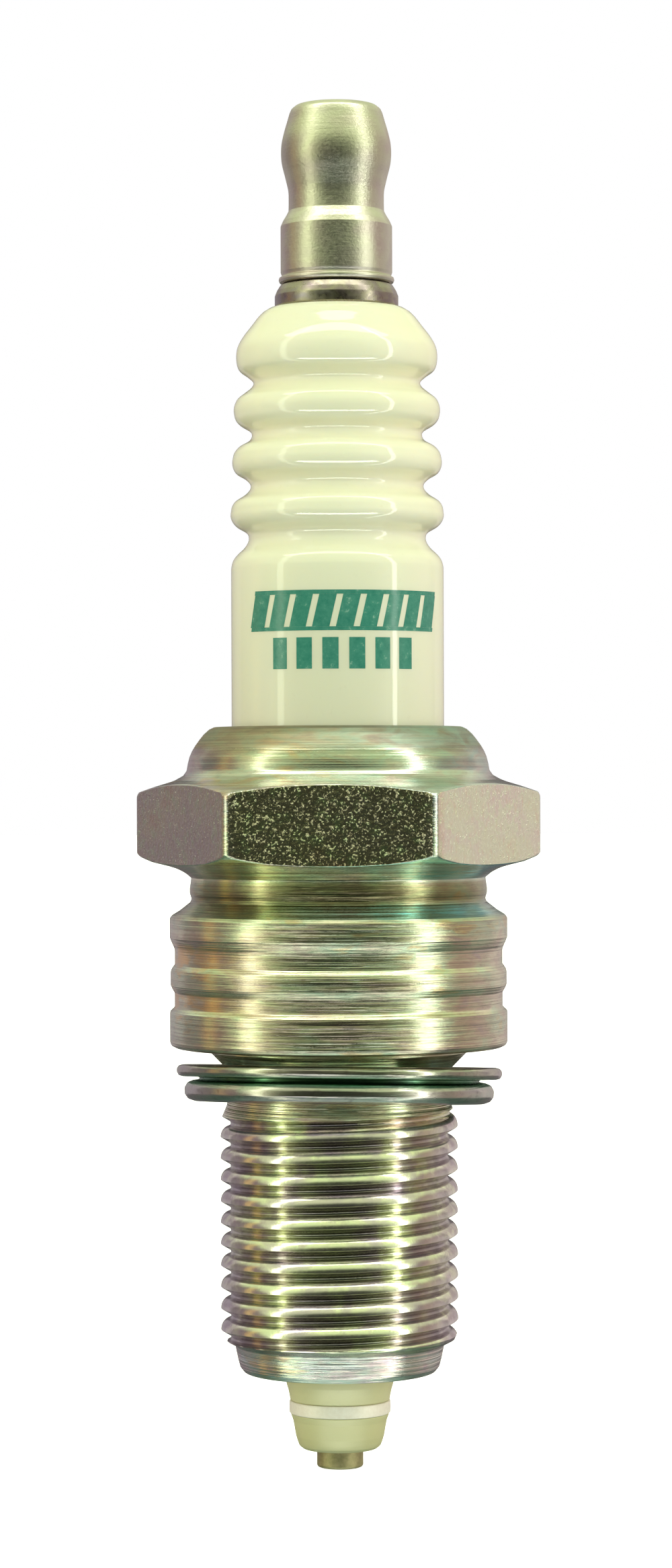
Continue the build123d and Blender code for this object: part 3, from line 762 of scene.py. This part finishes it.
def nickel_nut():
    m = Nodes("nickel_plated_nut")
    lines = m.noise(m.scaled(0.6, 0.6, 8.0), 1.0, 3, 0.6)
    grain = m.noise(m.scaled(6, 6, 6), 1.0, 4, 0.65)
    slow = m.noise(m.scaled(0.35, 0.35, 0.4), 1.0, 2, 0.5)
    colour = m.ramp(slow, [(0.35, (0.64, 0.59, 0.53)), (0.5, (0.72, 0.70, 0.57)), (0.65, (0.68, 0.60, 0.55))])
    height = m.math("MULTIPLY", m.z, 1000.0)
    colour = m.mix(1.0, colour, m.ramp(m.remap(height, 47.5, 62.5, 0.0, 1.0), [
        (0.0, (0.95, 0.95, 0.95)), (0.45, (0.95, 0.95, 0.95)), (0.52, (0.92, 0.93, 0.88)), (0.66, (0.92, 0.93, 0.88)),
        (0.74, (0.95, 0.95, 0.95)), (0.90, (0.90, 0.90, 0.95)), (1.0, (0.80, 0.80, 0.90))]), "MULTIPLY")
    spots, _ = m.voronoi(m.scaled(2.6, 2.6, 2.6), 1.0)
    colour = m.mix(m.remap(spots, 0.0, 0.12, 0.45, 0.0), colour, (0.25, 0.22, 0.2))
    n1 = m.bump(grain, 0.8, 0.000018)
    m.set(Base_Color=colour, Metallic=1.0, Roughness=m.remap(grain, 0.3, 0.7, 0.29, 0.42),
          Normal=m.bump(lines, 0.6, 0.000016, n1))
    return m.mat


def stud_metal():
    m = Nodes("stud_plated_steel")
    grain = m.noise(m.scaled(3.2, 3.2, 3.2), 1.0, 4, 0.6)
    slow = m.noise(m.scaled(0.7, 0.7, 0.9), 1.0, 3, 0.5, 0.5)
    colour = m.ramp(slow, [(0.35, (0.30, 0.24, 0.25)), (0.5, (0.40, 0.36, 0.28)), (0.65, (0.34, 0.30, 0.34))])
    m.set(Base_Color=colour, Metallic=1.0, Roughness=m.remap(grain, 0.3, 0.7, 0.22, 0.4),
          Normal=m.bump(grain, 0.4, 0.00001))
    return m.mat


def glaze():
    m = Nodes("glazed_and_bare_alumina")
    # the glaze covers what stands above the shell; the nose is bare
    height = m.math("MULTIPLY", m.z, 1000.0)
    glazed = m.remap(height, 17.0, 18.5, 0.0, 1.0)
    # the glazed body grows darker towards the bottom, near the shell
    lower_darkening = m.ramp(m.remap(height, 18.0, 36.0, 0.0, 1.0), [(0.0, (0.80, 0.80, 0.80)), (0.4, (0.89, 0.90, 0.91)), (0.75, (0.96, 0.97, 0.97)), (1.0, (1, 1, 1))])
    cloud = m.noise(m.scaled(0.12, 0.12, 0.1), 1.0, 2, 0.5)
    speck = m.noise(m.scaled(3.0, 3.0, 3.0), 1.0, 4, 0.6)
    body = m.ramp(cloud, [(0.35, (0.90, 0.87, 0.66)), (0.5, (0.91, 0.88, 0.69)), (0.65, (0.92, 0.88, 0.71))])
    body = m.mix(m.remap(speck, 0.62, 0.8, 0.0, 0.12), body, (0.62, 0.54, 0.38))
    body = m.mix(1.0, body, lower_darkening, "MULTIPLY")
    nose = m.ramp(cloud, [(0.35, (0.77, 0.745, 0.41)), (0.65, (0.81, 0.785, 0.45))])
    nose = m.mix(1.0, nose, m.ramp(m.remap(height, -20.0, -16.0, 0.0, 1.0), [(0.0, (0.68, 0.68, 0.64)), (0.5, (0.78, 0.78, 0.74)), (0.8, (0.92, 0.92, 0.91))]), "MULTIPLY")
    nose = m.mix(m.remap(speck, 0.55, 0.75, 0.0, 0.2), nose, (0.60, 0.55, 0.34))
    colour = m.mix(glazed, nose, body)
    rough = m.math("ADD", m.remap(glazed, 0, 1, 0.42, 0.045), m.math("MULTIPLY", speck, 0.02))
    wave = m.noise(m.scaled(0.35, 0.35, 0.35), 1.0, 2, 0.5)
    n1 = m.bump(wave, 0.25, 0.00003)
    grainy = m.math("MULTIPLY", m.noise(m.scaled(9, 9, 9), 1.0, 3, 0.6), m.remap(glazed, 0, 1, 1.0, 0.05))
    n2 = m.bump(grainy, 0.5, 0.000008, n1)
    m.set(Base_Color=colour, Roughness=rough, Normal=n2, IOR=1.55, Subsurface_Weight=0.25, Subsurface_Scale=0.0012)
    m.bsdf.inputs["Subsurface Radius"].default_value = (1.0, 0.8, 0.5)
    return m.mat


def simple_metal(name, a, b, rough=(0.3, 0.5), scale=3.0, metallic=1.0, bump=0.00001):
    m = Nodes(name)
    grain = m.noise(m.scaled(scale, scale, scale), 1.0, 4, 0.6)
    colour = m.ramp(grain, [(0.35, a), (0.65, b)])
    m.set(Base_Color=colour, Metallic=metallic, Roughness=m.remap(grain, 0.3, 0.7, *rough),
          Normal=m.bump(grain, 0.5, bump))
    return m.mat


def ink():
    m = Nodes("printed_teal_ink")
    worn = m.noise(m.scaled(2.5, 2.5, 2.5), 1.0, 5, 0.7)
    colour = m.ramp(worn, [(0.3, (0.03, 0.20, 0.15)), (0.6, (0.06, 0.27, 0.20)), (0.75, (0.28, 0.48, 0.38))])
    m.set(Base_Color=colour, Roughness=m.remap(worn, 0.3, 0.7, 0.12, 0.25),
          Normal=m.bump(worn, 0.2, 0.000004), IOR=1.5)
    return m.mat


for material in (passivated_zinc(), hex_faces(), rolled_thread()):
    shell.data.materials.append(material)
# the six wrench faces are a coarser, pitted forged finish than the turned surfaces
polys = shell.data.polygons
centres = np.zeros(len(polys) * 3)
polys.foreach_get("center", centres)
centres = centres.reshape(-1, 3) * 1000
norms = np.zeros(len(polys) * 3)
polys.foreach_get("normal", norms)
norms = norms.reshape(-1, 3)
on_hex = (centres[:, 2] > 14.0) & (centres[:, 2] < 18.7) & (np.abs(norms[:, 2]) < 0.35) & (np.hypot(centres[:, 0], centres[:, 1]) > 10.2)
turn = np.degrees(np.arctan2(centres[:, 1], centres[:, 0]))
on_hex &= np.abs((turn + 30) % 60 - 30) > 1.0
index = on_hex.astype(np.int32)
index[(centres[:, 2] < -0.75) & (centres[:, 2] > Z_LO + 0.05) & (np.hypot(centres[:, 0], centres[:, 1]) > 6.1)] = 2
polys.foreach_set("material_index", index)

insulator.data.materials.append(glaze())
nut_obj.data.materials.append(nickel_nut())
stud.data.materials.append(stud_metal())
wm = washer_metal()
washer.data.materials.append(wm)
tabs.data.materials.append(wm)
electrode.data.materials.append(simple_metal("nickel_alloy_wire", (0.42, 0.38, 0.20), (0.56, 0.50, 0.28), (0.5, 0.62), 4))
ring.data.materials.append(simple_metal("pale_ring_alloy", (0.92, 0.86, 0.72), (0.97, 0.92, 0.79), (0.42, 0.55), 5, 0.25))
mark.data.materials.append(ink())

inner = {
    "center_electrode_core": simple_metal("copper_core", (0.75, 0.38, 0.24), (0.86, 0.50, 0.34)),
    "lower_glass_seal": simple_metal("seal_glass_dark", (0.10, 0.13, 0.13), (0.18, 0.2, 0.2), (0.15, 0.35), 3, 0.0),
    "upper_glass_seal": simple_metal("seal_glass_dark_upper", (0.10, 0.13, 0.13), (0.18, 0.2, 0.2), (0.15, 0.35), 3, 0.0),
    "resistor": simple_metal("resistor_ceramic_black", (0.05, 0.05, 0.05), (0.12, 0.11, 0.1), (0.6, 0.8), 4, 0.0),
    "inner_seal_washer": simple_metal("packing_steel_washer", (0.45, 0.44, 0.43), (0.6, 0.58, 0.56)),
    "lower_packing_ring": simple_metal("packing_steel_lower", (0.45, 0.44, 0.43), (0.6, 0.58, 0.56)),
    "upper_packing_ring": simple_metal("packing_steel_upper", (0.45, 0.44, 0.43), (0.6, 0.58, 0.56)),
    "talc_packing": simple_metal("pressed_talc", (0.80, 0.79, 0.75), (0.90, 0.89, 0.86), (0.7, 0.9), 5, 0.0),
}
for node, material in inner.items():
    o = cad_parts[node]
    o.data.materials.clear()
    o.data.materials.append(material)

# ------------------------------------------------------------ ride and replace
for obj, body, node, slot in (
    (shell, "plug", "shell", "zinc_plated_steel"),
    (insulator, "plug", "insulator", "glazed_ceramic"),
    (stud, "plug", "terminal_stud", "stud_steel"),
    (electrode, "plug", "center_electrode_sheath", "nickel_alloy"),
    (ring, "plug", "nose_ring_electrode", "ring_alloy"),
    (nut_obj, "nut", "terminal_nut", "nickel_plate"),
    (washer, "washer", "outer_gasket", "gasket_steel"),
):
    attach(obj, body)
    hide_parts(node)
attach(tabs, "washer")
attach(mark, "plug")

# ---------------------------------------------------------------- studio light
world = bpy.data.worlds.new("studio")
bpy.context.scene.world = world
world.use_nodes = True
wt = world.node_tree
wt.nodes.clear()


def wnode(kind, **kw):
    n = wt.nodes.new(kind)
    for k, v in kw.items():
        setattr(n, k, v)
    return n


def wmath(op, *vals, clamp=False):
    n = wnode("ShaderNodeMath", operation=op, use_clamp=clamp)
    for s, v in zip(n.inputs, vals):
        if isinstance(v, bpy.types.NodeSocket):
            wt.links.new(v, s)
        else:
            s.default_value = v
    return n.outputs[0]


def wramp(fac, stops):
    n = wnode("ShaderNodeValToRGB")
    el = n.color_ramp.elements
    while len(el) < len(stops):
        el.new(1.0)
    for e, (p, c) in zip(el, stops):
        e.position = p
        e.color = (*c, 1)
    wt.links.new(fac, n.inputs[0])
    return n.outputs[0]


coord = wnode("ShaderNodeTexCoord").outputs["Generated"]
sep = wnode("ShaderNodeSeparateXYZ")
wt.links.new(coord, sep.inputs[0])
wx, wy, wz = sep.outputs
# azimuth from the front (-Y), to the right positive, in turns: 0.5 is the front, 0 and 1 the back
az = wmath("FRACT", wmath("ADD", wmath("DIVIDE", wmath("ARCTAN2", wx, wmath("MULTIPLY", wy, -1.0)), 2 * PI), 0.5 - VIEW / (2 * PI)))
elev = wmath("ADD", wmath("DIVIDE", wmath("ARCSINE", wz), PI), 0.5)
walls = wramp(az, [
    (0.0, (0.14, 0.12, 0.13)), (0.09, (0.19, 0.16, 0.18)), (0.155, (0.29, 0.25, 0.26)), (0.203, (0.24, 0.19, 0.20)),
    (0.214, (0.62, 0.43, 0.22)), (0.233, (0.66, 0.47, 0.24)), (0.245, (0.24, 0.18, 0.20)), (0.285, (0.27, 0.22, 0.18)),
    (0.315, (0.32, 0.36, 0.22)), (0.345, (0.60, 0.62, 0.36)), (0.375, (0.14, 0.16, 0.09)), (0.42, (0.05, 0.055, 0.035)),
    (0.5, (0.035, 0.037, 0.026)), (0.58, (0.05, 0.055, 0.035)), (0.625, (0.16, 0.17, 0.11)), (0.65, (0.66, 0.66, 0.52)),
    (0.70, (0.54, 0.52, 0.44)), (0.73, (0.34, 0.28, 0.25)), (0.76, (0.42, 0.32, 0.27)), (0.79, (0.52, 0.44, 0.39)),
    (0.83, (0.58, 0.52, 0.49)), (0.865, (0.42, 0.38, 0.37)), (0.92, (0.24, 0.21, 0.21)), (1.0, (0.14, 0.12, 0.13))])
sides = wmath("MULTIPLY", wmath("MULTIPLY", wx, wx), wmath("MULTIPLY", wy, -3.0, clamp=True))
arch = wmath("ADD", elev, wmath("MULTIPLY", sides, 0.18))
top = wnode("ShaderNodeMix", data_type="RGBA")
wt.links.new(wramp(arch, [(0.585, (0, 0, 0)), (0.625, (0.22, 0.22, 0.22)), (0.67, (0.75, 0.75, 0.75)), (0.74, (1, 1, 1))]), top.inputs[0])
wt.links.new(walls, top.inputs[6])
top.inputs[7].default_value = (0.80, 0.90, 0.56, 1)
low = wnode("ShaderNodeMix", data_type="RGBA")
wt.links.new(wramp(elev, [(0.28, (1, 1, 1)), (0.36, (0.6, 0.6, 0.6)), (0.43, (0, 0, 0))]), low.inputs[0])
wt.links.new(top.outputs[2], low.inputs[6])
wt.links.new(wramp(elev, [(0.0, (0.56, 0.70, 0.62)), (0.11, (0.46, 0.60, 0.52)), (0.18, (0.26, 0.36, 0.30)), (0.26, (0.08, 0.13, 0.10))]),
             low.inputs[7])
tent = wnode("ShaderNodeBackground")
wt.links.new(low.outputs[2], tent.inputs[0])
tent.inputs[1].default_value = 1.0
white = wnode("ShaderNodeBackground")
white.inputs[0].default_value = (1, 1, 1, 1)
white.inputs[1].default_value = 1.0
see = wnode("ShaderNodeLightPath")
choose = wnode("ShaderNodeMixShader")
wt.links.new(see.outputs["Is Camera Ray"], choose.inputs[0])
wt.links.new(tent.outputs[0], choose.inputs[1])
wt.links.new(white.outputs[0], choose.inputs[2])
wout = wnode("ShaderNodeOutputWorld")
wt.links.new(choose.outputs[0], wout.inputs[0])


def panel(name, azimuth, elevation, width, height, radiance, colour, distance=0.6):
    """A soft rectangular light aimed at the middle of the object. Angles in degrees from the front."""
    data = bpy.data.lights.new(name, "AREA")
    data.shape = "RECTANGLE"
    data.size, data.size_y = width, height
    data.energy = radiance * PI * width * height
    data.color = colour
    obj = bpy.data.objects.new(name, data)
    a, e = math.radians(azimuth) + VIEW, math.radians(elevation)
    target = np.array([0, 0, 0.0187])
    d = np.array([math.sin(a) * math.cos(e), -math.cos(a) * math.cos(e), math.sin(e)])
    pos = target + d * distance
    obj.location = pos
    from mathutils import Vector
    obj.rotation_euler = Vector(-d).to_track_quat("-Z", "Y").to_euler()
    obj.visible_camera = False
    bpy.context.scene.collection.objects.link(obj)
    return obj


GREENISH, LIME, WARM = (0.97, 1.0, 0.90), (0.95, 1.0, 0.74), (1.0, 0.90, 0.84)
panel("strip_right", 64, 0, 0.060, 3.2, 5.2, GREENISH)
panel("strip_left", -64, 0, 0.085, 3.2, 2.5, LIME)
panel("bar_top", 0, 77, 1.1, 0.13, 4.2, GREENISH).visible_diffuse = False
panel("bar_low", 0, -45, 1.1, 0.12, 2.3, (1.0, 1.0, 0.96)).visible_diffuse = False
glazed = bpy.data.collections.new("glazed")
glazed.objects.link(insulator)
for args in (("glaze_top", 0, 77, 1.0, 0.14, 5.0, GREENISH), ("glaze_low", 0, -43, 1.0, 0.14, 8.0, GREENISH)):
    bar = panel(*args)
    bar.visible_diffuse = False
    bar.light_linking.receiver_collection = glazed
panel("back_right", 150, 10, 0.5, 0.6, 0.35, WARM, 0.7)
panel("back_left", -150, 10, 0.5, 0.6, 0.25, (0.96, 0.90, 0.95), 0.7)
# broad soft light for the matt and glazed surfaces
for args in (("soft_front", 0, 12, 0.9, 0.9, 1.76, (0.91, 1.0, 1.0), 1.0), ("soft_right", 90, 5, 0.5, 0.8, 1.6, (1.0, 0.86, 0.80), 0.9),
             ("soft_left", -90, 5, 0.5, 0.8, 1.55, (1.0, 0.86, 0.80), 0.9)):
    panel(*args).visible_glossy = False

# ----------------------------------------------------------------------- floor
floor_z = float(cad_box[0][2]) - 0.00005
fv, ff = [], []
ring_r = [0.0, 0.02, 0.05, 0.1, 0.2, 0.4, 0.8, 1.6, 3.0]
for r in ring_r:
    for i in range(48):
        w = 2 * PI * i / 48
        fv.append((r * math.cos(w), r * math.sin(w), floor_z))
for j in range(len(ring_r) - 1):
    for i in range(48):
        k = (i + 1) % 48
        ff.append([j * 48 + i, (j + 1) * 48 + i, (j + 1) * 48 + k, j * 48 + k])
floor = make_object("studio_floor", np.array(fv), ff, None, outward=False)
fmat = bpy.data.materials.new("white_floor")
fmat.use_nodes = True
fb = next(n for n in fmat.node_tree.nodes if n.type == "BSDF_PRINCIPLED")
fb.inputs["Base Color"].default_value = (0.95, 0.95, 0.95, 1)
fb.inputs["Roughness"].default_value = 0.9
fb.inputs["Emission Color"].default_value = (1, 1, 1, 1)
fb.inputs["Emission Strength"].default_value = 0.85
floor.data.materials.append(fmat)
floor.visible_glossy = False
floor.visible_diffuse = False
floor.visible_shadow = False

# ---------------------------------------------------------------------- camera
cam_data = bpy.data.cameras.new("camera")
cam_data.sensor_fit = "VERTICAL"
cam_data.sensor_height = 36.0
cam_data.sensor_width = 36.0
cam_data.lens = 107.8 * CAM_D / 0.275
cam_data.clip_start = 0.01
cam_data.clip_end = 20
cam = bpy.data.objects.new("camera", cam_data)
cam.location = (CAM_D * math.sin(VIEW) - 0.00012 * math.cos(VIEW), -CAM_D * math.cos(VIEW) - 0.00012 * math.sin(VIEW), 0.01866)
cam.rotation_euler = (PI / 2, math.radians(0.18), VIEW)
bpy.context.scene.collection.objects.link(cam)
bpy.context.scene.camera = cam
bpy.context.scene.view_settings.view_transform = "Standard"
